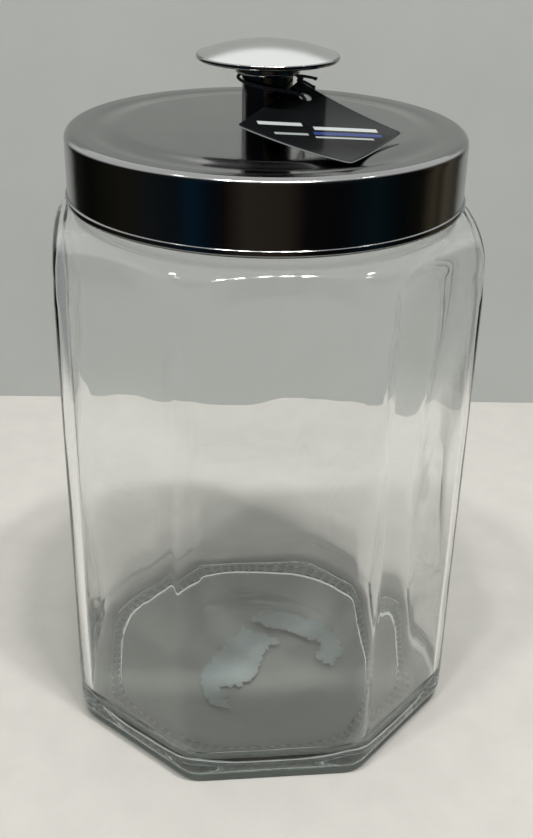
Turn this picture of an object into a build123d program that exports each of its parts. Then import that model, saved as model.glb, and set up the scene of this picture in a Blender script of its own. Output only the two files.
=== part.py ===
from build123d import *

import math
import os

# Lidded glass canister. Millimetres, +Z up, origin at the middle of the base where it stands.
# The jar's four main walls face +X, -X, +Y and -Y, and four narrower walls clip its corners.

# --- jar ---
JAR_HALF_WIDTH = 69.5  # axis to a main wall
CLIPPED_HALF_WIDTH = 70.75  # axis to a corner wall
CORNER_RADIUS = 12.0
HEEL_RADIUS = 8.0
WALL = 3.6
FLOOR_TOP_Z = 6.5
FLOOR_RADIUS = 8.0
SHOULDER_CENTRE_R = 57.2  # centre of the shoulder's arc
SHOULDER_CENTRE_Z = 175.9
SHOULDER_RADIUS = 17.8
NECK_OUTER_R = 60.5
NECK_BORE_R = 56.5
NECK_TOP_Z = 212.0
NECK_LIP_RADIUS = 1.5
RING_INSET = 8.0  # wall to the outer edge of the bearing ring
RING_WIDTH = 7.0
RING_HEIGHT = 1.0
RING_CORNER_RADIUS = 32.0  # inner edge of the bearing ring
PUNT_RADIUS = 55.0
PUNT_RISE = 3.0
MARGIN = 1.0  # how far a cutting solid runs past what it cuts

# --- paper scraps under the punt ---
PAPER = 0.25
PAPER_GAP = 0.05

# --- lid shell ---
LID_R = 65.0
LID_CORNER_RADIUS = 2.8
SHEET = 0.6
PANEL_R = 46.5
PANEL_Z = 217.4
GROOVE_R = 54.8
GROOVE_Z = 216.2
RING_R = 58.5
RING_Z = 216.8
BEAD_BOTTOM_Z = 194.3
BEAD_HEIGHT = 2.3
BEAD_PROUD = 0.7
SCREW_HOLE_R = 2.7

# --- liner and seal ---
FLANGE_R = 63.9
FLANGE_Z = 212.3
FLANGE_THICKNESS = 1.8
LINER_LIP_R = 60.5
LINER_LIP_OUTER_R = 62.4
LINER_LIP_Z = 216.1
PLUG_R = 54.6
PLUG_WALL = 2.8
PLUG_BOTTOM_Z = 202.0
SEAL_GROOVE_R = 53.2
SEAL_GROOVE_Z = 204.5
SEAL_GROOVE_HEIGHT = 4.0
PLUG_CHAMFER = 0.6
LINER_BOSS_R = 12.0
RIB_COUNT = 8
RIB_THICKNESS = 1.6
RIB_GAP = 0.25  # rib to the lid's sheet
SEAL_CLEARANCE = 0.1
SEAL_SIDE_GAP = 0.15
SEAL_BODY_R = 55.0
SEAL_LIP_R = 56.2

# --- knob ---
POST_R = 8.15
POST_WALL = 1.0
CAP_SOCKET_Z = 236.4
COLLAR_R = 10.4
COLLAR_BOTTOM_Z = 233.4
COLLAR_EDGE_RADIUS = 1.0
CAP_R = 22.7
CAP_UNDERSIDE_Z = 236.8
CAP_RIM_Z = 238.5
CAP_RIM_HEIGHT = 0.7
CAP_RIM_BULGE = 0.2
CAP_TOP_Z = 243.2
UNDERSIDE_SHOULDER = 5.0  # rim to where the cap's underside starts to lift
UNDERSIDE_LIFT = 0.3
SOCKET_CLEARANCE = 0.05
BOSS_R = 6.9
BOSS_BOTTOM_Z = 224.0
BOSS_BORE_R = 2.5
BOSS_BORE_TOP_Z = 235.0

# --- screw and washer ---
SCREW_R = 2.45
SCREW_TIP_Z = 232.0
SCREW_TIP_CHAMFER = 0.5
SCREW_HEAD_R = 4.6
SCREW_HEAD_HEIGHT = 2.7
HEX_ACROSS_FLATS = 3.0
HEX_DEPTH = 1.7
WASHER_R = 7.0
WASHER_THICKNESS = 1.2

# --- hang tag ---
TAG_SIDE = 37.7
TAG_THICKNESS = 0.45
TAG_CORNER_RADIUS = 1.6
TAG_CURL_RADIUS = 113.0
TAG_HOLE_R = 2.0
TAG_HOLE_INSET = 8.4  # the card's corner to the hole's centre
CURL_MARGIN_DEG = 2.0
TAG_CENTRE = (13.76, -27.02, 221.6)
TAG_TOWARD_HOLE = (-0.168, 0.955, 0.246)
TAG_NORMAL = (0.135, -0.2245, 0.9636)

# --- string ---
STRING_D = 1.0
KNOT_CENTRE = (10.4, 0.3, 231.4)
KNOT_R = 1.6
END_KNOT_R = 0.85
BEND_SHARE = 0.45  # part of the shorter run that a bend may use
# From one free end, through the knot, round the post, over the card, down its hole and back up.
STRING_ROUTE = [
    (15.2, -0.8, 231.6),
    (12.6, 0.1, 232.1),
    (9.9, 1.6, 232.1),
    (8.0, 5.2, 232.1),
    (4.2, 8.9, 232.2),
    (-1.6, 9.8, 232.2),
    (-7.2, 6.9, 232.1),
    (-9.8, 1.4, 231.9),
    (-8.6, -5.0, 231.5),
    (-3.4, -9.7, 230.8),
    (3.2, -11.3, 229.9),
    (8.4, -10.9, 229.1),
    (10.9, -10.0, 227.2),
    (11.2, -8.3, 225.5),
    (11.4, -5.1, 225.0),
    (11.3, -1.9, 226.1),
    (10.9, 0.1, 228.1),
    (9.9, 0.2, 229.9),
    (10.9, -0.8, 231.0),
    (12.8, -1.4, 230.1),
    (14.6, -1.9, 229.1),
]


def clipped_square(half_width, clipped_half_width, corner_radius):
    """Square outline with its corners clipped and every corner rounded."""
    with BuildSketch(mode=Mode.PRIVATE) as outline:
        Rectangle(2 * half_width, 2 * half_width)
        Rectangle(
            2 * clipped_half_width, 2 * clipped_half_width, rotation=45, mode=Mode.INTERSECT
        )
        fillet(outline.vertices(), corner_radius)
    return outline.sketch


def under_shoulder(inset):
    """Half section, on XZ, of everything under the shoulder's arc, moved in by inset."""
    radius = SHOULDER_RADIUS - inset
    wall_r = SHOULDER_CENTRE_R + radius
    crown_z = SHOULDER_CENTRE_Z + radius
    with BuildSketch(mode=Mode.PRIVATE) as section:
        with BuildLine():
            Line((0, 0), (wall_r, 0))
            Line((wall_r, 0), (wall_r, SHOULDER_CENTRE_Z))
            CenterArc((SHOULDER_CENTRE_R, SHOULDER_CENTRE_Z), radius, 0, 90)
            Line((SHOULDER_CENTRE_R, crown_z), (0, crown_z))
            Line((0, crown_z), (0, 0))
        make_face()
    return section.sketch


def punt_arc_radius():
    """Radius of the sphere that the punt is part of."""
    return (PUNT_RADIUS**2 + PUNT_RISE**2) / (2 * PUNT_RISE)


def write(name, builder):
    """Label a finished piece and write it as its own STEP file."""
    builder.part.label = name
    export_step(builder.part, f"parts/{name}.step")


os.makedirs("parts", exist_ok=True)

# --- glass jar: clipped prism under a turned shoulder, with a plain round neck ---
outer_outline = clipped_square(JAR_HALF_WIDTH, CLIPPED_HALF_WIDTH, CORNER_RADIUS)
inner_outline = clipped_square(
    JAR_HALF_WIDTH - WALL, CLIPPED_HALF_WIDTH - WALL, CORNER_RADIUS - WALL
)
ring_inset = RING_INSET + RING_WIDTH
foot_outline = clipped_square(
    JAR_HALF_WIDTH - ring_inset, CLIPPED_HALF_WIDTH - ring_inset, RING_CORNER_RADIUS
)
outer_section = under_shoulder(0)
inner_section = under_shoulder(WALL)

with BuildPart() as jar_inside:
    with BuildSketch(Plane.XY.offset(FLOOR_TOP_Z)):
        add(inner_outline)
    extrude(amount=NECK_TOP_Z - FLOOR_TOP_Z)
    fillet(jar_inside.edges().group_by(Axis.Z)[0], FLOOR_RADIUS)
    with BuildSketch(Plane.XZ):
        add(inner_section)
    revolve(axis=Axis.Z, mode=Mode.INTERSECT)
    with BuildSketch(Plane.XY.offset(SHOULDER_CENTRE_Z)):
        Circle(NECK_BORE_R)
    extrude(amount=NECK_TOP_Z + MARGIN - SHOULDER_CENTRE_Z)

with BuildPart() as glass_jar:
    with BuildSketch(Plane.XY):
        add(outer_outline)
    extrude(amount=NECK_TOP_Z)
    fillet(glass_jar.edges().group_by(Axis.Z)[0], HEEL_RADIUS)
    with BuildSketch(Plane.XZ):
        add(outer_section)
    revolve(axis=Axis.Z, mode=Mode.INTERSECT)
    with BuildSketch(Plane.XY.offset(SHOULDER_CENTRE_Z)):
        Circle(NECK_OUTER_R)
    extrude(amount=NECK_TOP_Z - SHOULDER_CENTRE_Z)
    add(jar_inside.part, mode=Mode.SUBTRACT)
    fillet(glass_jar.edges().group_by(Axis.Z)[-1], NECK_LIP_RADIUS)
    # the foot: a shallow step inside the bearing ring, and the punt's dome
    with BuildSketch(Plane.XY):
        add(foot_outline)
    extrude(amount=RING_HEIGHT, mode=Mode.SUBTRACT)
    with BuildSketch(Plane.XZ):
        with BuildLine():
            Line((0, 0), (PUNT_RADIUS, 0))
            RadiusArc((PUNT_RADIUS, 0), (0, PUNT_RISE), -punt_arc_radius())
            Line((0, PUNT_RISE), (0, 0))
        make_face()
    revolve(axis=Axis.Z, mode=Mode.SUBTRACT)
write("glass_jar", glass_jar)

# --- torn paper scraps, following the punt's dome ---
LEFT_SCRAP = [
    (-5, 16), (11, 7), (3, -2), (-1, -15), (-9, -22), (-17, -21), (-13, -36), (-24, -27), (-28, -14),
]
RIGHT_SCRAP = [
    (-2, 21), (4, 26), (14, 26), (27, 19), (36, 5), (36, -4), (29, -12), (22, -5), (26, 4), (18, 10),
]
with BuildPart() as label_remnant:
    with BuildSketch(Plane.XY):
        for scrap in (LEFT_SCRAP, RIGHT_SCRAP):
            with BuildLine():
                Polyline(*scrap, close=True)
            make_face()
    extrude(amount=PUNT_RISE)
    with BuildSketch(Plane.XZ):
        top_z = PUNT_RISE - PAPER_GAP
        bottom_z = top_z - PAPER
        edge_drop = PUNT_RISE
        with BuildLine():
            RadiusArc((PUNT_RADIUS, top_z - edge_drop), (0, top_z), -punt_arc_radius())
            Line((0, top_z), (0, bottom_z))
            RadiusArc((0, bottom_z), (PUNT_RADIUS, bottom_z - edge_drop), punt_arc_radius())
            Line((PUNT_RADIUS, bottom_z - edge_drop), (PUNT_RADIUS, top_z - edge_drop))
        make_face()
    revolve(axis=Axis.Z, mode=Mode.INTERSECT)
write("label_remnant", label_remnant)

# --- lid shell: spun sheet with a raised panel and a rolled bead ---
with BuildPart() as lid_shell:
    with BuildSketch(Plane.XZ):
        wall_in = LID_R - SHEET
        corner_z = RING_Z - LID_CORNER_RADIUS
        corner_r = LID_R - LID_CORNER_RADIUS
        bead_top = BEAD_BOTTOM_Z + BEAD_HEIGHT
        bead_middle = BEAD_BOTTOM_Z + BEAD_HEIGHT / 2
        with BuildLine():
            Line((SCREW_HOLE_R, PANEL_Z), (PANEL_R, PANEL_Z))
            Spline((PANEL_R, PANEL_Z), (GROOVE_R, GROOVE_Z), tangents=((1, 0), (1, 0)))
            Spline((GROOVE_R, GROOVE_Z), (RING_R, RING_Z), tangents=((1, 0), (1, 0)))
            Line((RING_R, RING_Z), (corner_r, RING_Z))
            CenterArc((corner_r, corner_z), LID_CORNER_RADIUS, 0, 90)
            Line((LID_R, corner_z), (LID_R, bead_top))
            ThreePointArc(
                (LID_R, bead_top), (LID_R + BEAD_PROUD, bead_middle), (LID_R, BEAD_BOTTOM_Z)
            )
            Line((LID_R, BEAD_BOTTOM_Z), (wall_in, BEAD_BOTTOM_Z))
            Line((wall_in, BEAD_BOTTOM_Z), (wall_in, corner_z))
            CenterArc((corner_r, corner_z), LID_CORNER_RADIUS - SHEET, 0, 90)
            Line((corner_r, RING_Z - SHEET), (RING_R, RING_Z - SHEET))
            Spline(
                (RING_R, RING_Z - SHEET), (GROOVE_R, GROOVE_Z - SHEET), tangents=((-1, 0), (-1, 0))
            )
            Spline(
                (GROOVE_R, GROOVE_Z - SHEET), (PANEL_R, PANEL_Z - SHEET), tangents=((-1, 0), (-1, 0))
            )
            Line((PANEL_R, PANEL_Z - SHEET), (SCREW_HOLE_R, PANEL_Z - SHEET))
            Line((SCREW_HOLE_R, PANEL_Z - SHEET), (SCREW_HOLE_R, PANEL_Z))
        make_face()
    revolve(axis=Axis.Z)
write("lid_shell", lid_shell)

# --- lid liner: moulded insert with a flange, a hollow plug and a centre boss ---
flange_top_z = FLANGE_Z + FLANGE_THICKNESS
with BuildPart() as lid_liner:
    with BuildSketch(Plane.XY.offset(FLANGE_Z)):
        Circle(FLANGE_R)
    extrude(amount=FLANGE_THICKNESS)
    with BuildSketch(Plane.XY.offset(flange_top_z)):
        Circle(LINER_LIP_OUTER_R)
        Circle(LINER_LIP_R, mode=Mode.SUBTRACT)
    extrude(amount=LINER_LIP_Z - flange_top_z)
    with BuildSketch(Plane.XY.offset(flange_top_z)):
        with PolarLocations((LINER_BOSS_R + LINER_LIP_R) / 2, RIB_COUNT):
            Rectangle(LINER_LIP_R - LINER_BOSS_R + MARGIN, RIB_THICKNESS)
    extrude(amount=GROOVE_Z - SHEET - flange_top_z - RIB_GAP)
    with BuildSketch(Plane.XY.offset(flange_top_z)):
        Circle(LINER_BOSS_R)
    extrude(amount=PANEL_Z - SHEET - flange_top_z)
    with BuildSketch(Plane.XY.offset(PLUG_BOTTOM_Z)):
        Circle(PLUG_R)
        Circle(PLUG_R - PLUG_WALL, mode=Mode.SUBTRACT)
    extrude(amount=FLANGE_Z - PLUG_BOTTOM_Z)
    chamfer(lid_liner.edges().group_by(Axis.Z)[0], PLUG_CHAMFER)
    with BuildSketch(Plane.XY.offset(SEAL_GROOVE_Z)):
        Circle(PLUG_R + MARGIN)
        Circle(SEAL_GROOVE_R, mode=Mode.SUBTRACT)
    extrude(amount=SEAL_GROOVE_HEIGHT, mode=Mode.SUBTRACT)
    with BuildSketch(Plane.XY.offset(FLANGE_Z)):
        Circle(SCREW_HOLE_R)
    extrude(amount=PANEL_Z - FLANGE_Z, mode=Mode.SUBTRACT)
write("lid_liner", lid_liner)

# --- seal ring: soft ring with two lips, loose enough in its groove to turn ---
with BuildPart() as seal_ring:
    with BuildSketch(Plane.XZ):
        back_r = SEAL_GROOVE_R + SEAL_CLEARANCE
        low_z = SEAL_GROOVE_Z + SEAL_SIDE_GAP
        high_z = SEAL_GROOVE_Z + SEAL_GROOVE_HEIGHT - SEAL_SIDE_GAP
        middle_z = (low_z + high_z) / 2
        lip_quarter = (high_z - low_z) / 4
        with BuildLine():
            Polyline(
                (back_r, low_z),
                (SEAL_BODY_R, low_z),
                (SEAL_LIP_R, low_z + lip_quarter),
                (SEAL_BODY_R, middle_z),
                (SEAL_LIP_R, high_z - lip_quarter),
                (SEAL_BODY_R, high_z),
                (back_r, high_z),
                close=True,
            )
        make_face()
    revolve(axis=Axis.Z)
write("seal_ring", seal_ring)

# --- knob post: plain tube ---
with BuildPart() as knob_post:
    with BuildSketch(Plane.XY.offset(PANEL_Z)):
        Circle(POST_R)
        Circle(POST_R - POST_WALL, mode=Mode.SUBTRACT)
    extrude(amount=CAP_SOCKET_Z - PANEL_Z)
write("knob_post", knob_post)

# --- knob cap: lens over a collar, with a threaded boss down the middle ---
with BuildPart() as knob_cap:
    with BuildSketch(Plane.XZ):
        rim_low_z = CAP_RIM_Z - CAP_RIM_HEIGHT / 2
        rim_high_z = CAP_RIM_Z + CAP_RIM_HEIGHT / 2
        rim_r = CAP_R - CAP_RIM_BULGE
        dome_rise = CAP_TOP_Z - rim_high_z
        dome_radius = (rim_r**2 + dome_rise**2) / (2 * dome_rise)
        with BuildLine():
            Line((0, COLLAR_BOTTOM_Z), (COLLAR_R, COLLAR_BOTTOM_Z))
            Line((COLLAR_R, COLLAR_BOTTOM_Z), (COLLAR_R, CAP_UNDERSIDE_Z))
            ThreePointArc(
                (COLLAR_R, CAP_UNDERSIDE_Z),
                (CAP_R - UNDERSIDE_SHOULDER, CAP_UNDERSIDE_Z + UNDERSIDE_LIFT),
                (rim_r, rim_low_z),
            )
            ThreePointArc((rim_r, rim_low_z), (CAP_R, CAP_RIM_Z), (rim_r, rim_high_z))
            RadiusArc((rim_r, rim_high_z), (0, CAP_TOP_Z), -dome_radius)
            Line((0, CAP_TOP_Z), (0, COLLAR_BOTTOM_Z))
        make_face()
    revolve(axis=Axis.Z)
    fillet(knob_cap.edges().group_by(Axis.Z)[0], COLLAR_EDGE_RADIUS)
    with BuildSketch(Plane.XY.offset(BOSS_BOTTOM_Z)):
        Circle(BOSS_R)
    extrude(amount=CAP_SOCKET_Z - BOSS_BOTTOM_Z)
    with BuildSketch(Plane.XY.offset(COLLAR_BOTTOM_Z)):
        Circle(POST_R + SOCKET_CLEARANCE)
        Circle(BOSS_R, mode=Mode.SUBTRACT)
    extrude(amount=CAP_SOCKET_Z - COLLAR_BOTTOM_Z, mode=Mode.SUBTRACT)
    with BuildSketch(Plane.XY.offset(BOSS_BOTTOM_Z)):
        Circle(BOSS_BORE_R)
    extrude(amount=BOSS_BORE_TOP_Z - BOSS_BOTTOM_Z, mode=Mode.SUBTRACT)
write("knob_cap", knob_cap)

# --- washer and screw under the liner ---
washer_bottom_z = FLANGE_Z - WASHER_THICKNESS
with BuildPart() as screw_washer:
    with BuildSketch(Plane.XY.offset(washer_bottom_z)):
        Circle(WASHER_R)
        Circle(SCREW_HOLE_R, mode=Mode.SUBTRACT)
    extrude(amount=WASHER_THICKNESS)
write("screw_washer", screw_washer)

with BuildPart() as knob_screw:
    with BuildSketch(Plane.XY.offset(washer_bottom_z - SCREW_HEAD_HEIGHT)):
        Circle(SCREW_HEAD_R)
    extrude(amount=SCREW_HEAD_HEIGHT)
    fillet(knob_screw.edges().group_by(Axis.Z)[0], SCREW_HEAD_HEIGHT / 2)
    with BuildSketch(Plane.XY.offset(washer_bottom_z)):
        Circle(SCREW_R)
    extrude(amount=SCREW_TIP_Z - washer_bottom_z)
    chamfer(knob_screw.edges().group_by(Axis.Z)[-1], SCREW_TIP_CHAMFER)
    with BuildSketch(Plane.XY.offset(washer_bottom_z - SCREW_HEAD_HEIGHT)):
        RegularPolygon(HEX_ACROSS_FLATS / 2, 6, major_radius=False)
    extrude(amount=HEX_DEPTH, mode=Mode.SUBTRACT)
write("knob_screw", knob_screw)

# --- hang tag: square card, curled along the diagonal that runs to its hole ---
tag_plane = Plane(origin=TAG_CENTRE, x_dir=TAG_TOWARD_HOLE, z_dir=TAG_NORMAL)
tag_side_plane = Plane(origin=TAG_CENTRE, x_dir=tag_plane.x_dir, z_dir=-tag_plane.y_dir)
half_diagonal = TAG_SIDE / math.sqrt(2)
with BuildPart() as hang_tag:
    with BuildSketch(tag_side_plane):
        curl_angle = math.degrees(half_diagonal / TAG_CURL_RADIUS) + CURL_MARGIN_DEG
        start_angle = 270 - curl_angle
        with BuildLine():
            lower = CenterArc(
                (0, TAG_CURL_RADIUS), TAG_CURL_RADIUS + TAG_THICKNESS / 2, start_angle, 2 * curl_angle
            )
            upper = CenterArc(
                (0, TAG_CURL_RADIUS), TAG_CURL_RADIUS - TAG_THICKNESS / 2, start_angle, 2 * curl_angle
            )
            Line(lower @ 0, upper @ 0)
            Line(lower @ 1, upper @ 1)
        make_face()
    extrude(amount=half_diagonal + MARGIN, both=True)
    with BuildSketch(tag_plane.offset(-half_diagonal / 2)) as card:
        Rectangle(TAG_SIDE, TAG_SIDE, rotation=45)
        fillet(card.vertices(), TAG_CORNER_RADIUS)
        with Locations((half_diagonal - TAG_HOLE_INSET, 0)):
            Circle(TAG_HOLE_R, mode=Mode.SUBTRACT)
    extrude(amount=half_diagonal, mode=Mode.INTERSECT)
write("hang_tag", hang_tag)


# --- string: one length, looped round the post and tied, with two free ends ---
def bend_radii(points):
    """Largest tangent arc that each corner of a route has room for."""
    radii = []
    for before, corner, after in zip(points, points[1:], points[2:]):
        run_in = Vector(*corner) - Vector(*before)
        run_out = Vector(*after) - Vector(*corner)
        half_turn = math.radians(run_in.get_angle(run_out)) / 2
        shorter = min(run_in.length, run_out.length)
        radii.append(BEND_SHARE * shorter / math.tan(half_turn))
    return radii


string_radii = bend_radii(STRING_ROUTE)
print("string bend radii:", [round(radius, 2) for radius in string_radii])
with BuildPart() as tag_string:
    with BuildLine() as string_line:
        FilletPolyline(*STRING_ROUTE, radius=string_radii)
    with BuildSketch(Plane(string_line.line @ 0, z_dir=string_line.line % 0)):
        Circle(STRING_D / 2)
    sweep()
string_length = string_line.wires()[0].length
string_section = math.pi * STRING_D**2 / 4
print("string length:", round(string_length, 2))
print("volume over section x length:", tag_string.part.volume / (string_section * string_length))
write("tag_string", tag_string)

with BuildPart() as string_knot:
    with Locations(KNOT_CENTRE):
        Sphere(KNOT_R)
write("string_knot", string_knot)

with BuildPart() as string_ends:
    with Locations(STRING_ROUTE[0], STRING_ROUTE[-1]):
        Sphere(END_KNOT_R)
write("string_ends", string_ends)
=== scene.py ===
import math

import bmesh
import bpy
from mathutils import Matrix, Vector, noise
from mathutils.geometry import delaunay_2d_cdt


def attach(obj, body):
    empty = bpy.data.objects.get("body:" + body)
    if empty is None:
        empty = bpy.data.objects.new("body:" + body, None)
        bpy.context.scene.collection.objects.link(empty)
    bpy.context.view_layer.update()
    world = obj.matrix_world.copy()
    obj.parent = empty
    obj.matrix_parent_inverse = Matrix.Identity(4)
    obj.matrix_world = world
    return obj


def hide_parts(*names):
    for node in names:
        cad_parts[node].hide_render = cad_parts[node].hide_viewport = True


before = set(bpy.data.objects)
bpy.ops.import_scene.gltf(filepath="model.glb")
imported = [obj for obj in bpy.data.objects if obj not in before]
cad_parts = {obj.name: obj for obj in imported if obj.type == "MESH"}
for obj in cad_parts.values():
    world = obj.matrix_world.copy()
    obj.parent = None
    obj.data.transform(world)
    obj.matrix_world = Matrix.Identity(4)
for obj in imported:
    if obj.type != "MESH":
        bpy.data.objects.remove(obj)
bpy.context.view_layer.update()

MM = 0.001

# ---------------------------------------------------------------- dimensions, mm
# jar
HALF_WIDTHS = (69.5, 70.75)  # main walls, clipped walls
CORNER = 12.0
HEEL = 8.0
WALL = 3.6
INNER_CORNER = 10.5
FLOOR_CORNER = 38.0  # inside floor is rounder than the wall above it
FLOOR_TOP = 6.5
FLOOR_FILLET = 8.4
SHOULDER_R = 57.2
SHOULDER_Z = 175.9
SHOULDER_ARC = 17.8
NECK_R = 60.5
BORE_R = 56.5
NECK_TOP = 212.0
LIP = 1.5
STRAIGHT_TOP = 160.0  # the straight walls end here, and the shoulder begins
SHOULDER_TOP = 193.6
INNER_SHOULDER_TOP = 191.0
NECK_HEIGHTS = (194.6, 196.0, 200.0, 205.0, 209.0)
BORE_HEIGHTS = (208.0, 204.0, 200.0, 196.0, 193.0)
OUTER_WAVE = 0.16  # casting waves: how deep, how closely spaced, which noise
OUTER_WAVE_SCALE = 0.035
OUTER_WAVE_SEED = 4.0
INNER_WAVE = 0.55
INNER_WAVE_SCALE = 0.05
INNER_WAVE_SEED = 11.0
RING_INNER = 15.0  # inset of the ground ring's inner edge
RING_CORNER = 36.0
RING_STEP = 1.0
DISH_R = 31.5  # shallow dish pressed into the middle of the floor
DISH_EDGE = 2.6
DISH_DEPTH = 0.5
PUNT_R = 55.0
PUNT_RISE = 3.0
ARC_COLUMNS = 12
FLAT_COLUMNS = 52
PUNT_ROWS = 22
FLOOR_ROWS = 22
HEEL_ROWS = 14
WALL_ROWS = 36
SHOULDER_ROWS = 40
FILLET_ROWS = 12
LIP_ROWS = 6
TEETH = 92  # fine radial teeth round the ground ring, drawn as painted white glint dashes

# lid
LID_R = 65.0
LID_CORNER = 2.8
SHEET = 0.6
PANEL_R = 46.5
PANEL_Z = 217.4
GROOVE_R = 54.8
GROOVE_Z = 216.55
RIM_R = 59.5
RIM_Z = 216.8
BEAD_LOW = 194.3
BEAD_HIGH = 196.6
BEAD_PROUD = 0.7
SCREW_HOLE_R = 2.7
LATHE_STEPS = 288

# knob
POST_R = 8.15
POST_WALL = 1.0
SOCKET_Z = 236.4
COLLAR_R = 10.4
COLLAR_LOW = 233.4
CAP_R = 22.7
CAP_UNDER = 236.8
CAP_RIM = 238.4
RIM_ROLL = 0.85
CAP_TOP = 243.2
BOSS_R = 6.9
BOSS_LOW = 224.0
BOSS_BORE = 2.5
POST_STEPS = 160
CAP_STEPS = 224

# tag
TAG_SIDE = 37.7
TAG_THICKNESS = 0.45
TAG_CORNER = 1.6
TAG_CURL = 113.0
TAG_HOLE_R = 2.0
TAG_HOLE_INSET = 8.4
CARD_EDGE = 0.10  # softening of the card's cut edge
CARD_COLUMNS = 192
CARD_ROWS = 30
CARD_UV_SPAN = 100.0  # millimetres of card across the whole UV square
TAG_CENTRE = Vector((13.76, -27.02, 221.6))
TAG_TOWARD_HOLE = Vector((-0.168, 0.955, 0.246))
TAG_NORMAL = Vector((0.135, -0.2245, 0.9636))

# string
KNOT_CENTRE = Vector((10.4, 0.3, 231.4))
KNOT_SIZE = 0.36
END_KNOT_SIZE = 0.15
STRING_ROUTE = [
    (0.0152, -0.0008, 0.2316),
    (0.0126, 0.0001, 0.2321),
    (0.0099, 0.0016, 0.2321),
    (0.0080, 0.0052, 0.2321),
    (0.0042, 0.0089, 0.2322),
    (-0.0016, 0.0098, 0.2322),
    (-0.0072, 0.0069, 0.2321),
    (-0.0098, 0.0014, 0.2319),
    (-0.0086, -0.0050, 0.2315),
    (-0.0034, -0.0097, 0.2308),
    (0.0032, -0.0113, 0.2299),
    (0.0084, -0.0109, 0.2291),
    (0.0109, -0.0100, 0.2272),
    (0.0112, -0.0083, 0.2255),
    (0.0114, -0.0051, 0.2250),
    (0.0113, -0.0019, 0.2261),
    (0.0109, 0.0001, 0.2281),
    (0.0099, 0.0002, 0.2299),
    (0.0109, -0.0008, 0.2310),
    (0.0128, -0.0014, 0.2301),
    (0.0146, -0.0019, 0.2291),
]

# paper scraps left under the punt
PAPER = 0.25
PAPER_EDGE = 0.10  # thickness at the torn edge
PAPER_GAP = 0.05
PAPER_GRID = 1.6
TEAR_STEP = 0.9
TEAR_SIZE = 3.2
LEFT_SCRAP = [
    (-5, 16), (11, 7), (3, -2), (-1, -15), (-9, -22), (-17, -21), (-13, -36), (-24, -27), (-28, -14),
]
RIGHT_SCRAP = [
    (-2, 21), (4, 26), (14, 26), (27, 19), (36, 5), (36, -4), (29, -12), (22, -5), (26, 4), (18, 10),
]


# ---------------------------------------------------------------- mesh helpers
def link(name, mesh):
    """New object in the scene for a mesh."""
    piece = bpy.data.objects.new(name, mesh)
    bpy.context.scene.collection.objects.link(piece)
    return piece


def build(name, points_mm, faces, sharp=None):
    """Mesh piece from points in millimetres, with normals outward and smooth shading."""
    mesh = bpy.data.meshes.new(name)
    mesh.from_pydata([tuple(c * MM for c in p) for p in points_mm], [], faces)
    work = bmesh.new()
    work.from_mesh(mesh)
    bmesh.ops.recalc_face_normals(work, faces=work.faces)
    work.to_mesh(mesh)
    work.free()
    mesh.shade_smooth()
    if sharp is not None:
        mesh.set_sharp_from_angle(angle=math.radians(sharp))
    return link(name, mesh)


def ring_faces(row_a, row_b):
    """Quads between two closed rows of vertex numbers."""
    count = len(row_a)
    return [
        (row_a[i], row_a[(i + 1) % count], row_b[(i + 1) % count], row_b[i])
        for i in range(count)
    ]


def skin(rows, closed=False):
    """Points and faces for closed rows; a row of one point becomes a pole."""
    points, numbers, faces = [], [], []
    for row in rows:
        numbers.append(list(range(len(points), len(points) + len(row))))
        points.extend(row)
    pairs = list(zip(numbers, numbers[1:]))
    if closed:
        pairs.append((numbers[-1], numbers[0]))
    for a, b in pairs:
        if len(a) == 1:
            faces += [(a[0], b[(i + 1) % len(b)], b[i]) for i in range(len(b))]
        elif len(b) == 1:
            faces += [(a[i], a[(i + 1) % len(a)], b[0]) for i in range(len(a))]
        else:
            faces += ring_faces(a, b)
    return points, faces


def arc(centre, radius, start, end, steps):
    """Points of an arc in (r, z), angles in degrees."""
    points = []
    for i in range(steps + 1):
        angle = math.radians(start + (end - start) * i / steps)
        points.append((centre[0] + radius * math.cos(angle), centre[1] + radius * math.sin(angle)))
    return points


def run(start, end, steps):
    """Points along a straight line in (r, z), the end left out."""
    return [
        (start[0] + (end[0] - start[0]) * i / steps, start[1] + (end[1] - start[1]) * i / steps)
        for i in range(steps)
    ]


def ease(start, end, steps, power=2.0):
    """Smooth S-shaped step in (r, z), the end left out; a low power keeps its middle straight."""
    points = []
    for i in range(steps):
        t = i / steps
        rise = t**power / (t**power + (1 - t) ** power)
        points.append((start[0] + (end[0] - start[0]) * t, start[1] + (end[1] - start[1]) * rise))
    return points


def lathe(name, profile, closed=True, steps=LATHE_STEPS, sharp=40):
    """Turned piece from an (r, z) profile; a radius of zero becomes a pole."""
    rows = []
    for r, z in profile:
        if r < 1e-6:
            rows.append([(0.0, 0.0, z)])
            continue
        rows.append([
            (r * math.cos(math.tau * i / steps), r * math.sin(math.tau * i / steps), z)
            for i in range(steps)
        ])
    points, faces = skin(rows, closed)
    return build(name, points, faces, sharp)


def smooth_min(a, b, width):
    """Lesser of two values with a rounded change-over."""
    h = max(0.0, min(1.0, 0.5 + 0.5 * (b - a) / width))
    return b + (a - b) * h - width * h * (1 - h)


def smooth_max(a, b, width):
    return -smooth_min(-a, -b, width)


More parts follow.
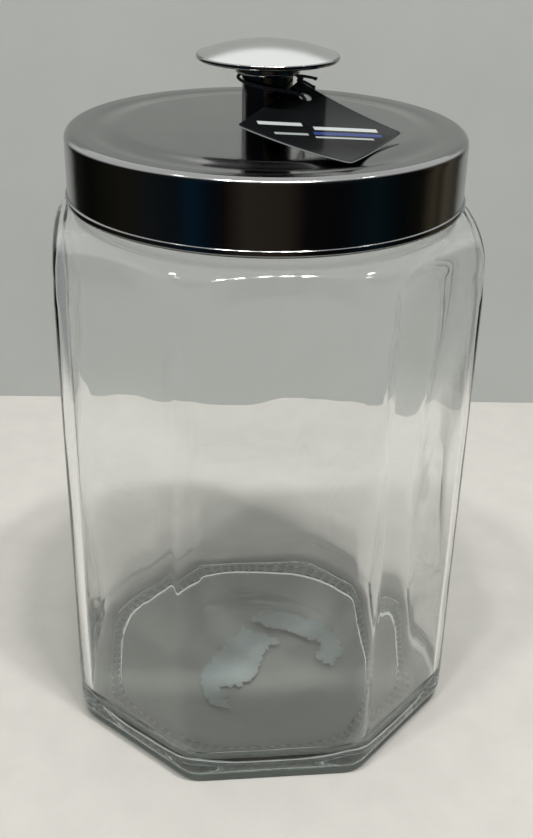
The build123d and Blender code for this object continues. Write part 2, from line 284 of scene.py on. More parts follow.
# ---------------------------------------------------------------- material helpers
class Graph:
    """Small wrapper that keeps the node code of a material or a world short."""

    def __init__(self, name, world=False):
        self.owner = (bpy.data.worlds if world else bpy.data.materials).new(name)
        self.owner.use_nodes = True
        self.tree = self.owner.node_tree
        self.tree.nodes.clear()
        self.output = self.tree.nodes.new("ShaderNodeOutput" + ("World" if world else "Material"))

    def add(self, kind, inputs=None, **settings):
        """Node of a kind; inputs are numbers, colours or sockets."""
        node = self.tree.nodes.new("ShaderNode" + kind)
        for key, value in settings.items():
            setattr(node, key, value)
        for key, value in (inputs or {}).items():
            socket = node.inputs[key]
            if isinstance(value, bpy.types.NodeSocket):
                self.tree.links.new(value, socket)
            else:
                socket.default_value = value
        return node

    def math(self, operation, a, b=0.0, clamp=False):
        return self.add("Math", {0: a, 1: b}, operation=operation, use_clamp=clamp).outputs[0]

    def fit(self, value, low, high, to_low=0.0, to_high=1.0, smooth=False):
        """Value from low..high mapped on to_low..to_high, clamped."""
        node = self.add(
            "MapRange",
            {"Value": value, "From Min": low, "From Max": high, "To Min": to_low, "To Max": to_high},
            interpolation_type="SMOOTHSTEP" if smooth else "LINEAR",
        )
        return node.outputs["Result"]

    def blend(self, factor, a, b):
        """Colour between a and b."""
        return self.add("MixRGB", {"Fac": factor, "Color1": a, "Color2": b}).outputs[0]

    def noise(self, vector, scale, detail=3.0, roughness=0.5, distortion=0.0):
        node = self.add("TexNoise", {
            "Vector": vector, "Scale": scale, "Detail": detail,
            "Roughness": roughness, "Distortion": distortion,
        })
        return node.outputs["Fac"]

    def bump(self, height, strength, distance, normal=None):
        inputs = {"Height": height, "Strength": strength, "Distance": distance}
        if normal is not None:
            inputs["Normal"] = normal
        return self.add("Bump", inputs).outputs[0]

    def vertex_value(self, name):
        """Number stored on the mesh's points."""
        return self.add("Attribute", attribute_name=name).outputs["Fac"]

    def object_vector(self):
        return self.add("TexCoord").outputs["Object"]

    def object_axes(self):
        """Object coordinates: the vector, and x, y and z."""
        vector = self.object_vector()
        split = self.add("SeparateXYZ", {0: vector})
        return vector, split.outputs[0], split.outputs[1], split.outputs[2]

    def finish(self, shader, volume=None):
        self.tree.links.new(shader, self.output.inputs["Surface"])
        if volume is not None:
            self.tree.links.new(volume, self.output.inputs["Volume"])
        return self.owner


def turned_coordinates(g, along=0.02):
    """Coordinates that run round the Z axis, so noise comes out as turning marks."""
    _, x, y, z = g.object_axes()
    radius = g.math("SQRT", g.math("ADD", g.math("MULTIPLY", x, x), g.math("MULTIPLY", y, y)))
    angle = g.math("MULTIPLY", g.math("ARCTAN2", y, x), along)
    return g.add("CombineXYZ", {0: radius, 1: angle, 2: z}).outputs[0]


def set_material(piece, material):
    piece.data.materials.clear()
    piece.data.materials.append(material)


# ---------------------------------------------------------------- materials
def clear_glass_shader(g, vector):
    """Smooth soda glass with faint smears and ripples."""
    smear = g.noise(vector, 38.0, 4.0, 0.6, 0.4)
    stretched = g.add("Mapping", {"Vector": vector, "Scale": (1.0, 1.0, 0.45)}).outputs[0]
    glass = g.add("BsdfPrincipled", {
        "Base Color": (1.0, 1.0, 1.0, 1.0),
        "Roughness": g.fit(smear, 0.45, 0.75, 0.0, 0.035),
        "IOR": 1.5,
        "Transmission Weight": 1.0,
        "Normal": g.bump(g.noise(stretched, 70.0, 2.0), 0.10, 0.0006),
    })
    return glass.outputs[0]


def with_ground_ring(g, glass, x, y):
    """Glass with a frosted, finely toothed ring under the foot; the teeth's white and dark teal
    stripes are painted lamp glints.
    """
    turn = g.math("MULTIPLY", g.math("ARCTAN2", y, x), float(TEETH))
    # White teeth on dark teal: a painted highlight pattern of glints on the frosted ring
    tooth_glint = g.fit(g.math("SINE", turn), -0.1, 0.5, 0.0, 1.0, smooth=True)
    ground = g.add("BsdfPrincipled", {
        "Base Color": g.blend(tooth_glint, (0.16, 0.25, 0.25, 1.0), (0.85, 0.95, 0.95, 1.0)),
        "Roughness": 0.45,
    })
    strength = g.math("ADD", g.math("MULTIPLY", tooth_glint, 0.35), 0.42)
    frosted = g.math("MULTIPLY", g.vertex_value("ring"), strength)
    return g.add("MixShader", {0: frosted, 1: glass, 2: ground.outputs[0]}).outputs[0]


def glass_material():
    """Soda glass, faintly green where thick, that lets shadow and diffuse rays straight through."""
    g = Graph("clear_glass")
    vector, x, y, _ = g.object_axes()
    glass = with_ground_ring(g, clear_glass_shader(g, vector), x, y)
    facing = g.add("LayerWeight", {"Blend": 0.5}).outputs["Facing"]
    edge = g.fit(facing, 0.30, 0.85, 0.0, 1.0, smooth=True)
    through = g.blend(edge, (0.86, 0.88, 0.87, 1.0), (0.05, 0.06, 0.055, 1.0))
    clear = g.add("BsdfTransparent", {"Color": through})
    path = g.add("LightPath")
    for_light = g.math("MAXIMUM", path.outputs["Is Shadow Ray"], path.outputs["Is Diffuse Ray"])
    mixed = g.add("MixShader", {0: for_light, 1: glass, 2: clear.outputs[0]})
    volume = g.add("VolumeAbsorption", {"Color": (0.60, 0.80, 0.78, 1.0), "Density": 6.0})
    return g.finish(mixed.outputs[0], volume.outputs[0])


def polished_steel_material(name="mirror_steel", painted_shade=1.0):
    """Dark mirror-finished steel with fine turning marks and a few smudges. The last argument darkens
    the colour: painted shade, for a darker copy of the same steel.
    """
    g = Graph(name)
    turned = turned_coordinates(g)
    vector = g.object_vector()
    marks = g.noise(turned, 2600.0, 2.0, 0.6)
    smudge = g.noise(vector, 30.0, 4.0, 0.62, 0.6)
    fine = g.noise(vector, 900.0, 2.0)
    rough = g.math("ADD", g.fit(smudge, 0.40, 0.72, 0.10, 0.15), g.fit(marks, 0.3, 0.7, 0.0, 0.03))
    light = (0.275 * painted_shade, 0.278 * painted_shade, 0.277 * painted_shade, 1.0)
    dull = (0.250 * painted_shade, 0.253 * painted_shade, 0.253 * painted_shade, 1.0)
    tone = g.blend(g.fit(smudge, 0.35, 0.7), light, dull)
    normal = g.bump(marks, 0.05, 0.00004, g.bump(fine, 0.03, 0.00003))
    steel = g.add("BsdfPrincipled", {
        "Base Color": tone, "Metallic": 1.0, "Roughness": rough, "Normal": normal,
    })
    return g.finish(steel.outputs[0])


def satin_steel_material():
    """Bright satin steel with circular brushing."""
    g = Graph("satin_brushed_steel")
    turned = turned_coordinates(g)
    vector = g.object_vector()
    marks = g.noise(turned, 3800.0, 3.0, 0.6)
    cloud = g.noise(vector, 60.0, 3.0)
    rough = g.math("ADD", g.fit(cloud, 0.35, 0.7, 0.15, 0.20), g.fit(marks, 0.3, 0.7, 0.0, 0.05))
    tone = g.blend(g.fit(marks, 0.3, 0.7), (0.56, 0.57, 0.565, 1.0), (0.66, 0.67, 0.665, 1.0))
    steel = g.add("BsdfPrincipled", {
        "Base Color": tone, "Metallic": 1.0, "Roughness": rough,
        "Normal": g.bump(marks, 0.10, 0.00005),
    })
    return g.finish(steel.outputs[0])


def screw_steel_material():
    """Zinc-plated steel, a little mottled."""
    g = Graph("zinc_plated_steel")
    vector = g.object_vector()
    spangle = g.noise(vector, 420.0, 3.0)
    tone = g.blend(g.fit(spangle, 0.35, 0.7), (0.56, 0.57, 0.56, 1.0), (0.70, 0.70, 0.68, 1.0))
    steel = g.add("BsdfPrincipled", {
        "Base Color": tone, "Metallic": 1.0, "Roughness": g.fit(spangle, 0.3, 0.7, 0.28, 0.42),
        "Normal": g.bump(spangle, 0.15, 0.0001),
    })
    return g.finish(steel.outputs[0])


def liner_material():
    """Milky moulded plastic with a fine texture."""
    g = Graph("moulded_liner")
    vector = g.object_vector()
    grain = g.noise(vector, 1400.0, 2.0)
    flow = g.noise(vector, 45.0, 3.0)
    tone = g.blend(g.fit(flow, 0.35, 0.7), (0.60, 0.61, 0.60, 1.0), (0.66, 0.66, 0.64, 1.0))
    plastic = g.add("BsdfPrincipled", {
        "Base Color": tone, "Roughness": g.fit(grain, 0.3, 0.7, 0.38, 0.52),
        "Normal": g.bump(grain, 0.12, 0.00008),
    })
    return g.finish(plastic.outputs[0])


def seal_material():
    """Soft clear-white seal with a dusty sheen."""
    g = Graph("soft_seal")
    vector = g.object_vector()
    grain = g.noise(vector, 800.0, 3.0)
    tone = g.blend(g.fit(grain, 0.35, 0.7), (0.50, 0.51, 0.50, 1.0), (0.58, 0.58, 0.56, 1.0))
    rubber = g.add("BsdfPrincipled", {
        "Base Color": tone, "Roughness": g.fit(grain, 0.3, 0.7, 0.5, 0.65),
        "Normal": g.bump(grain, 0.1, 0.0001),
    })
    return g.finish(rubber.outputs[0])


def paper_material():
    """Thin pale paper, blotchy where glue still holds it, with a torn fibrous edge."""
    g = Graph("torn_label_paper")
    vector = g.object_vector()
    fibre = g.noise(vector, 900.0, 5.0, 0.7)
    blotch = g.noise(vector, 55.0, 4.0, 0.6, 0.8)
    edge = g.vertex_value("edge")
    tone = g.blend(g.fit(blotch, 0.35, 0.7), (0.78, 0.87, 0.92, 1.0), (0.92, 0.97, 0.99, 1.0))
    tone = g.blend(g.fit(fibre, 0.35, 0.75, 0.0, 0.35), tone, (0.55, 0.60, 0.62, 1.0))
    tone = g.blend(edge, tone, (0.74, 0.76, 0.77, 1.0))
    paper = g.add("BsdfPrincipled", {
        "Base Color": tone, "Roughness": g.fit(blotch, 0.3, 0.7, 0.55, 0.8),
        "Normal": g.bump(fibre, 0.35, 0.0001),
    })
    return g.finish(paper.outputs[0])


def window(g, value, low, high, soft):
    """One inside low..high, falling to zero over soft on both sides."""
    rising = g.fit(value, low - soft, low + soft, smooth=True)
    falling = g.fit(value, high - soft, high + soft, 1.0, 0.0, smooth=True)
    return g.math("MULTIPLY", rising, falling)


PRINT_SOFT = 0.12  # fading at a bar's edge, mm
PRINT_BARS = [  # across from, across to, up from, up to (mm on the card), colour
    (5.6, 19.6, 1.2, 3.2, (0.50, 0.54, 0.54, 1.0)),
    (-18.2, 2.4, -0.9, 1.2, (0.50, 0.54, 0.54, 1.0)),
    (-18.6, 3.4, -4.2, -2.3, (0.030, 0.055, 0.20, 1.0)),
    (-15.0, 3.6, -6.5, -5.4, (0.40, 0.44, 0.44, 1.0)),
    (5.4, 16.0, -4.9, -3.5, (0.34, 0.38, 0.38, 1.0)),
]


def card_material():
    """Black coated card with plain printed bars and a bare grey edge."""
    g = Graph("printed_black_card")
    vector = g.object_vector()
    split = g.add("SeparateXYZ", {0: g.add("TexCoord").outputs["UV"]})
    across = g.math("MULTIPLY", g.math("SUBTRACT", split.outputs[0], 0.5), CARD_UV_SPAN)
    up = g.math("MULTIPLY", g.math("SUBTRACT", split.outputs[1], 0.5), CARD_UV_SPAN)
    face = g.vertex_value("face")
    edge = g.vertex_value("edge")
    fibre = g.noise(vector, 1500.0, 4.0, 0.6)
    cloud = g.noise(vector, 70.0, 3.0)
    black, worn_black = (0.0035, 0.0045, 0.0050, 1.0), (0.006, 0.0068, 0.0075, 1.0)
    tone = g.blend(g.fit(cloud, 0.3, 0.7), black, worn_black)
    for low, high, bottom, top, colour in PRINT_BARS:
        sideways = window(g, across, low, high, PRINT_SOFT)
        upright = window(g, up, bottom, top, PRINT_SOFT)
        patch = g.math("MULTIPLY", sideways, upright)
        patch = g.math("MULTIPLY", patch, face)
        patch = g.math("MULTIPLY", patch, g.fit(fibre, 0.25, 0.5, 0.75, 1.0))
        tone = g.blend(patch, tone, colour)
    tone = g.blend(edge, tone, (0.40, 0.43, 0.44, 1.0))
    card = g.add("BsdfPrincipled", {
        "Base Color": tone,
        "Roughness": g.fit(fibre, 0.3, 0.7, 0.11, 0.16),
        "Specular IOR Level": 0.10,
        "Normal": g.bump(fibre, 0.12, 0.00004),
    })
    return g.finish(card.outputs[0])


def string_material():
    """Dark navy cotton with lighter worn fibres."""
    g = Graph("navy_cotton")
    vector = g.object_vector()
    fibre = g.noise(vector, 4200.0, 4.0, 0.7)
    patch = g.noise(vector, 260.0, 3.0)
    tone = g.blend(g.fit(fibre, 0.35, 0.75), (0.008, 0.012, 0.022, 1.0), (0.030, 0.042, 0.070, 1.0))
    tone = g.blend(g.fit(patch, 0.5, 0.8, 0.0, 0.4), tone, (0.05, 0.065, 0.10, 1.0))
    cotton = g.add("BsdfPrincipled", {
        "Base Color": tone, "Roughness": 0.85, "Sheen Weight": 0.35, "Sheen Roughness": 0.5,
        "Normal": g.bump(fibre, 0.5, 0.00008),
    })
    return g.finish(cotton.outputs[0])


def stage_material(name, tone, spread, centre, limit, soft, top=None):
    """Matt pale surface that mirror rays see only near the object.

    One with a top is also hidden from them above it, and from everything behind it.
    """
    g = Graph(name)
    vector, x, y, z = g.object_axes()
    mottle = g.noise(vector, spread, 5.0, 0.62)
    darker = tuple(c * 0.93 for c in tone[:3]) + (1.0,)
    colour = g.blend(g.fit(mottle, 0.3, 0.7), darker, tone)
    matt = g.add("BsdfPrincipled", {
        "Base Color": colour, "Roughness": 0.8, "Specular IOR Level": 0.2,
        "Normal": g.bump(mottle, 0.15, 0.0006),
    })
    dx = g.math("SUBTRACT", x, centre[0])
    dy = g.math("SUBTRACT", y, centre[1])
    reach = g.math("SQRT", g.math("ADD", g.math("MULTIPLY", dx, dx), g.math("MULTIPLY", dy, dy)))
    away = g.fit(reach, limit, limit + soft, smooth=True)
    if top is not None:
        away = g.math("MAXIMUM", away, g.fit(z, top, top + 0.02))
    path = g.add("LightPath")
    seen = g.math("MULTIPLY", path.outputs["Is Glossy Ray"], away)
    if top is not None:
        seen = g.math("MAXIMUM", seen, g.add("NewGeometry").outputs["Backfacing"])
    hidden = g.add("BsdfTransparent")
    mixed = g.add("MixShader", {0: seen, 1: matt.outputs[0], 2: hidden.outputs[0]})
    return g.finish(mixed.outputs[0])


# ---------------------------------------------------------------- glass jar
def outline(inset, corner):
    """Clipped-square outline moved in by inset: one (x, y) for each column."""
    centres = []
    for k in range(8):
        a, b = math.radians(45 * k), math.radians(45 * (k + 1))
        p = HALF_WIDTHS[k % 2] - inset - corner
        q = HALF_WIDTHS[(k + 1) % 2] - inset - corner
        turn = math.sin(b - a)
        centres.append((
            (p * math.sin(b) - q * math.sin(a)) / turn,
            (q * math.cos(a) - p * math.cos(b)) / turn,
        ))
    points = []
    for k in range(8):
        here, there = centres[k], centres[(k + 1) % 8]
        for i in range(ARC_COLUMNS):
            angle = math.radians(45 * (k + i / ARC_COLUMNS))
            points.append((here[0] + corner * math.cos(angle), here[1] + corner * math.sin(angle)))
        angle = math.radians(45 * (k + 1))
        off = (corner * math.cos(angle), corner * math.sin(angle))
        for i in range(FLAT_COLUMNS):
            t = i / FLAT_COLUMNS
            points.append((
                here[0] + (there[0] - here[0]) * t + off[0],
                here[1] + (there[1] - here[1]) * t + off[1],
            ))
    return points


def level(points, z):
    return [(x, y, z) for x, y in points]


def envelope(z, arc_radius):
    """Radius of the turned shoulder at a height, opening out below it."""
    height = min(max(z - SHOULDER_Z, 0.0), arc_radius)
    below = max(SHOULDER_Z - z, 0.0) / 12
    return SHOULDER_R + math.sqrt(arc_radius**2 - height**2) + 4 * below**2


def shoulder_row(points, z, arc_radius, neck_r, soft):
    """Wall outline pulled in to the turned shoulder and out again to the neck."""
    row = []
    for x, y in points:
        rho = math.hypot(x, y)
        r = smooth_min(rho, envelope(z, arc_radius), soft)
        if z > SHOULDER_Z:
            r = smooth_max(r, neck_r, 0.8)
        row.append((x * r / rho, y * r / rho, z))
    return row


def waved(row, amount, scale, seed, squeeze=0.4):
    """Row moved in and out by smooth noise, as moulded glass is."""
    moved = []
    for x, y, z in row:
        rho = math.hypot(x, y)
        value = noise.noise(Vector((x * scale + seed, y * scale - seed, z * scale * squeeze)))
        push = 1 + amount * value / max(rho, 1.0)
        moved.append((x * push, y * push, z))
    return moved


def circle_row(r, z):
    """Round row whose points keep the directions of the outline's columns."""
    row = []
    for x, y in outline(0, CORNER):
        rho = math.hypot(x, y)
        row.append((x * r / rho, y * r / rho, z))
    return row


def punt_z(x, y):
    """Underside of the punt: a shallow dome, never lower than the step inside the ground ring."""
    sphere = (PUNT_R**2 + PUNT_RISE**2) / (2 * PUNT_RISE)
    r = math.hypot(x, y)
    dome = PUNT_RISE - sphere + math.sqrt(max(sphere**2 - r**2, 0.0))
    return smooth_max(dome, RING_STEP, 0.3)


def fan_rows(points, steps, height):
    """Rows from near the middle out to an outline, round inside and shaped outside."""
    mean = sum(math.hypot(x, y) for x, y in points) / len(points)
    rows = []
    for i in range(1, steps + 1):
        t = i / steps
        row = []
        for x, y in points:
            rho = math.hypot(x, y)
            r = t * (mean + (rho - mean) * t**3)
            px, py = x * r / rho, y * r / rho
            row.append((px, py, height(px, py)))
        rows.append(row)
    return rows


def floor_z(x, y):
    """Inside floor: nearly flat, with a shallow dish pressed into the middle, and casting waves."""
    swell = noise.noise(Vector((x * 0.045, y * 0.045, 3.7))) * 0.35
    fine = noise.noise(Vector((x * 0.13, y * 0.13, 8.2))) * 0.10
    share = min(max((math.hypot(x, y) - DISH_R) / DISH_EDGE, 0.0), 1.0)
    dish = DISH_DEPTH * (1 - share * share * (3 - 2 * share))
    return FLOOR_TOP + swell + fine - dish


BEARING_PROFILE = [  # inset from the wall, height
    (14.8, 0.55), (14.4, 0.18), (14.0, 0.0), (13.4, 0.0), (12.8, 0.0), (12.2, 0.0),
    (11.6, 0.0), (11.1, 0.10), (10.6, 0.25), (10.0, 0.30), (9.3, 0.18), (8.6, 0.04),
]
GROUND_INSETS = (10.9, 14.5)  # rows between these are frosted


def bearing_rows():
    """The foot's ground ring, from its inner step out to the heel."""
    rows = []
    for inset, z in BEARING_PROFILE:
        share = (inset - HEEL) / (RING_INNER - HEEL)
        corner = 4 + (RING_CORNER - 4) * min(1.0, 1.5 * share)
        rows.append(level(outline(inset, corner), z))
    return rows


def jar_outside():
    """Rows from the punt's middle, over the foot and heel, up the wall to the lip."""
    foot = outline(RING_INNER, RING_CORNER)
    rows = [[(0.0, 0.0, PUNT_RISE)]]
    rows += fan_rows(foot, PUNT_ROWS, punt_z)
    rows += bearing_rows()
    for i in range(HEEL_ROWS + 1):
        angle = math.radians(90 * i / HEEL_ROWS)
        inset = HEEL - HEEL * math.sin(angle)
        rows.append(level(outline(inset, CORNER - inset), HEEL - HEEL * math.cos(angle)))
    wall = outline(0, CORNER)
    for i in range(1, WALL_ROWS + 1):
        z = HEEL + (STRAIGHT_TOP - HEEL) * i / WALL_ROWS
        rows.append(waved(level(wall, z), OUTER_WAVE, OUTER_WAVE_SCALE, OUTER_WAVE_SEED))
    for i in range(1, SHOULDER_ROWS + 1):
        z = STRAIGHT_TOP + (SHOULDER_TOP - STRAIGHT_TOP) * i / SHOULDER_ROWS
        row = shoulder_row(wall, z, SHOULDER_ARC, NECK_R, 2.4)
        fading = OUTER_WAVE * (1 - i / SHOULDER_ROWS)
        rows.append(waved(row, fading, OUTER_WAVE_SCALE, OUTER_WAVE_SEED))
    for z in NECK_HEIGHTS:
        rows.append(circle_row(NECK_R, z))
    for r, z in arc((NECK_R - LIP, NECK_TOP - LIP), LIP, 0, 90, LIP_ROWS):
        rows.append(circle_row(r, z))
    return rows


def fillet_rows():
    """Rows round the fillet between the inside wall and the floor."""
    rows = []
    for i in range(1, FILLET_ROWS + 1):
        angle = math.radians(90 * i / FILLET_ROWS)
        inset = WALL + FLOOR_FILLET * (1 - math.cos(angle))
        z = FLOOR_TOP + FLOOR_FILLET - FLOOR_FILLET * math.sin(angle)
        share = (inset - WALL) / FLOOR_FILLET
        points = outline(inset, INNER_CORNER + (FLOOR_CORNER - INNER_CORNER) * share)
        fade = math.cos(angle)
        row = waved(level(points, z), INNER_WAVE * fade, INNER_WAVE_SCALE, INNER_WAVE_SEED)
        rows.append([(x, y, zz + (1 - fade) * (floor_z(x, y) - FLOOR_TOP)) for x, y, zz in row])
    return rows


def jar_inside():
    """Rows from the lip down the bore, shoulder and wall to the middle of the floor."""
    rows = []
    for r, z in arc((BORE_R + LIP, NECK_TOP - LIP), LIP, 90, 180, LIP_ROWS):
        rows.append(circle_row(r, z))
    for z in BORE_HEIGHTS:
        rows.append(circle_row(BORE_R, z))
    wall = outline(WALL, INNER_CORNER)
    for i in range(WALL_ROWS + 1):
        z = INNER_SHOULDER_TOP - (INNER_SHOULDER_TOP - STRAIGHT_TOP) * i / WALL_ROWS
        row = shoulder_row(wall, z, SHOULDER_ARC - WALL, BORE_R, 3.0)
        rows.append(waved(row, INNER_WAVE * i / WALL_ROWS, INNER_WAVE_SCALE, INNER_WAVE_SEED))
    low = FLOOR_TOP + FLOOR_FILLET
    for i in range(1, WALL_ROWS + 1):
        z = STRAIGHT_TOP - (STRAIGHT_TOP - low) * i / WALL_ROWS
        rows.append(waved(level(wall, z), INNER_WAVE, INNER_WAVE_SCALE, INNER_WAVE_SEED))
    rows += fillet_rows()
    edge = [(x, y) for x, y, _ in rows[-1]]
    rows += reversed(fan_rows(edge, FLOOR_ROWS, floor_z)[:-1])
    rows.append([(0.0, 0.0, floor_z(0.0, 0.0))])
    return rows


def mark_ring(jar):
    """Vertex value of 1 on the ground ring under the foot."""
    columns = 8 * (ARC_COLUMNS + FLAT_COLUMNS)
    ring = jar.data.attributes.new("ring", "FLOAT", "POINT")
    for row, (inset, _) in enumerate(BEARING_PROFILE):
        start = 1 + (PUNT_ROWS + row) * columns
        if GROUND_INSETS[0] < inset < GROUND_INSETS[1]:
            for i in range(columns):
                ring.data[start + i].value = 1.0


def make_jar():
    points, faces = skin(jar_outside() + jar_inside())
    jar = build("glass_jar_moulded", points, faces)
    mark_ring(jar)
    set_material(jar, glass_material())
    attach(jar, "jar")
    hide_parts("glass_jar")


# ---------------------------------------------------------------- paper scraps
def torn(points, seed):
    """Outline with each side broken into short torn steps."""
    ragged = []
    for i, (x, y) in enumerate(points):
        nx, ny = points[(i + 1) % len(points)]
        length = math.hypot(nx - x, ny - y)
        count = max(3, int(length / TEAR_STEP))
        for k in range(count):
            t = k / count
            px, py = x + (nx - x) * t, y + (ny - y) * t
            size = TEAR_SIZE * min(1.0, 4 * t * (1 - t) + 0.2)
            jag = noise.noise(Vector((px * 0.9, py * 0.9, seed))) * size
            ragged.append((px - (ny - y) / length * jag, py + (nx - x) / length * jag))
    return ragged


def grid_points(rim):
    """Regular points over the rim's bounding box."""
    xs, ys = [p[0] for p in rim], [p[1] for p in rim]
    return [
        (min(xs) + (i + 0.5) * PAPER_GRID, min(ys) + (k + 0.5) * PAPER_GRID)
        for i in range(int((max(xs) - min(xs)) / PAPER_GRID))
        for k in range(int((max(ys) - min(ys)) / PAPER_GRID))
    ]


def open_sides(faces):
    """Sides that only one face has, in that face's direction."""
    sides = dict.fromkeys(side for face in faces for side in zip(face, [*face[1:], face[0]]))
    return [(a, b) for a, b in sides if (b, a) not in sides]


def scrap_mesh(name, points, seed):
    """Thin torn sheet under the punt, closed, with fibres showing at its edge."""
    rim = torn(points, seed)
    count = len(rim)
    flat = [Vector(p) for p in rim + grid_points(rim)]
    edges = [(i, (i + 1) % count) for i in range(count)]
    result = delaunay_2d_cdt(flat, edges, [list(range(count))], 1, 0.01)
    verts, faces, origins = result[0], result[2], result[3]
    on_rim = [any(o < count for o in source) for source in origins]
    top = [(v.x, v.y, paper_z(v.x, v.y, at_rim)) for v, at_rim in zip(verts, on_rim)]
    low = [(x, y, z - (PAPER_EDGE if at_rim else PAPER)) for (x, y, z), at_rim in zip(top, on_rim)]
    total = len(top)
    all_faces = [tuple(f) for f in faces] + [tuple(i + total for i in reversed(f)) for f in faces]
    all_faces += [(b, a, a + total, b + total) for a, b in open_sides(faces)]
    piece = build(name, top + low, all_faces, 50)
    layer = piece.data.attributes.new("edge", "FLOAT", "POINT")
    for i in range(2 * total):
        layer.data[i].value = 0.85 if on_rim[i % total] else 0.0
    return piece


def paper_z(x, y, at_rim):
    """Height of a scrap's upper side, hanging just under the punt and curling away in places."""
    curl = 0.35 * max(0.0, noise.noise(Vector((x * 0.08, y * 0.08, 5.0))))
    sag = 0.12 if at_rim else 0.0
    return punt_z(x, y) - PAPER_GAP - curl - sag


def make_scraps():
    material = paper_material()
    scraps = [
        scrap_mesh("label_scrap_left", LEFT_SCRAP, 1.3),
        scrap_mesh("label_scrap_right", RIGHT_SCRAP, 6.1),
    ]
    for scrap in scraps:
        set_material(scrap, material)
        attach(scrap, "jar")
        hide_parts("label_remnant")


# ---------------------------------------------------------------- lid and knob
def lid_profile():
    """Closed (r, z) section of the pressed lid."""
    corner = (LID_R - LID_CORNER, RIM_Z - LID_CORNER)
    middle = (BEAD_LOW + BEAD_HIGH) / 2
    bulge = (BEAD_HIGH - BEAD_LOW) / 2
    profile = run((SCREW_HOLE_R, PANEL_Z), (PANEL_R, PANEL_Z), 24)
    profile += ease((PANEL_R, PANEL_Z), (GROOVE_R, GROOVE_Z), 22, 1.5)
    profile += ease((GROOVE_R, GROOVE_Z), (RIM_R, RIM_Z), 16, 1.7)
    profile += run((RIM_R, RIM_Z), (corner[0], RIM_Z), 5)
    profile += arc(corner, LID_CORNER, 90, 0, 12)
    profile += run((LID_R, corner[1] - 0.8), (LID_R, BEAD_HIGH + 0.3), 14)
    profile.append((LID_R, BEAD_HIGH))
    for i in range(1, 12):
        angle = math.radians(90 - 180 * i / 12)
        profile.append((LID_R + BEAD_PROUD * math.cos(angle), middle + bulge * math.sin(angle)))
    profile += [(LID_R - 0.1, BEAD_LOW), (LID_R - SHEET + 0.05, BEAD_LOW)]
    profile.append((LID_R - SHEET, BEAD_LOW + 0.15))
    profile += run((LID_R - SHEET, BEAD_LOW + 2), (LID_R - SHEET, corner[1]), 6)
    profile += arc(corner, LID_CORNER - SHEET, 0, 90, 6)
    profile += ease((RIM_R, RIM_Z - SHEET), (GROOVE_R, GROOVE_Z - SHEET), 6)
    profile += ease((GROOVE_R, GROOVE_Z - SHEET), (PANEL_R, PANEL_Z - SHEET), 8)
    profile += run((PANEL_R, PANEL_Z - SHEET), (SCREW_HOLE_R, PANEL_Z - SHEET), 6)
    profile.append((SCREW_HOLE_R, PANEL_Z - SHEET))
    return profile


def post_profile():
    """Closed section of the knob's tube, with softened rims."""
    inner = POST_R - POST_WALL
    profile = [(inner + 0.15, PANEL_Z), (POST_R - 0.25, PANEL_Z), (POST_R - 0.07, PANEL_Z + 0.07)]
    profile += run((POST_R, PANEL_Z + 0.25), (POST_R, SOCKET_Z - 0.2), 16)
    profile += [(POST_R, SOCKET_Z - 0.2), (POST_R - 0.2, SOCKET_Z), (inner + 0.2, SOCKET_Z)]
    profile += run((inner, SOCKET_Z - 0.2), (inner, PANEL_Z + 0.2), 4)
    return profile


def dome_arc(rim_r, rim_z):
    """Points of the cap's shallow dome, from its rim up to the middle."""
    rise = CAP_TOP - rim_z
    sphere = (rim_r**2 + rise**2) / (2 * rise)
    points = []
    for i in range(29):
        r = rim_r * (1 - i / 28)
        points.append((r, CAP_TOP - sphere + math.sqrt(sphere**2 - r**2)))
    return points


def cap_profile():
    """Section of the cap's satin dome, seated on its polished rim."""
    base = CAP_RIM + RIM_ROLL * 0.75
    profile = [(0.0, base - 0.6), (CAP_R - 2.0, base - 0.6)]
    profile += dome_arc(CAP_R - 0.30, base)
    return profile


def cap_rim_profile():
    """Closed section of the cap's underside and its rolled, polished rim."""
    low = CAP_RIM - RIM_ROLL
    inner = COLLAR_R - 0.6
    outer = CAP_R - RIM_ROLL
    profile = run((inner, CAP_UNDER), (inner + 1.0, CAP_UNDER), 2)
    for i in range(14):
        t = i / 14
        r = inner + 1.0 + (outer - inner - 1.0) * t
        profile.append((r, CAP_UNDER + (low - CAP_UNDER) * t**2.2))
    profile += arc((outer, CAP_RIM), RIM_ROLL, -88, 62, 12)
    profile += [(outer - 1.2, CAP_RIM + RIM_ROLL * 0.6), (inner, CAP_RIM)]
    return profile


def collar_profile():
    """Closed section of the collar and the threaded boss under the cap."""
    profile = [(BOSS_BORE, BOSS_LOW), (BOSS_R - 0.4, BOSS_LOW), (BOSS_R, BOSS_LOW + 0.4)]
    profile += run((BOSS_R, BOSS_LOW + 1), (BOSS_R, SOCKET_Z), 6)
    profile += [(BOSS_R, SOCKET_Z), (POST_R + 0.05, SOCKET_Z), (POST_R + 0.05, COLLAR_LOW + 0.1)]
    profile += [(POST_R + 0.2, COLLAR_LOW)]
    profile += arc((COLLAR_R - 1.0, COLLAR_LOW + 1.0), 1.0, -90, 0, 8)
    profile += run((COLLAR_R, COLLAR_LOW + 1.4), (COLLAR_R, CAP_UNDER - 0.3), 5)
    profile += arc((COLLAR_R - 0.35, CAP_UNDER - 0.35), 0.35, 0, 90, 4)
    profile += [(BOSS_BORE, CAP_UNDER)]
    return profile


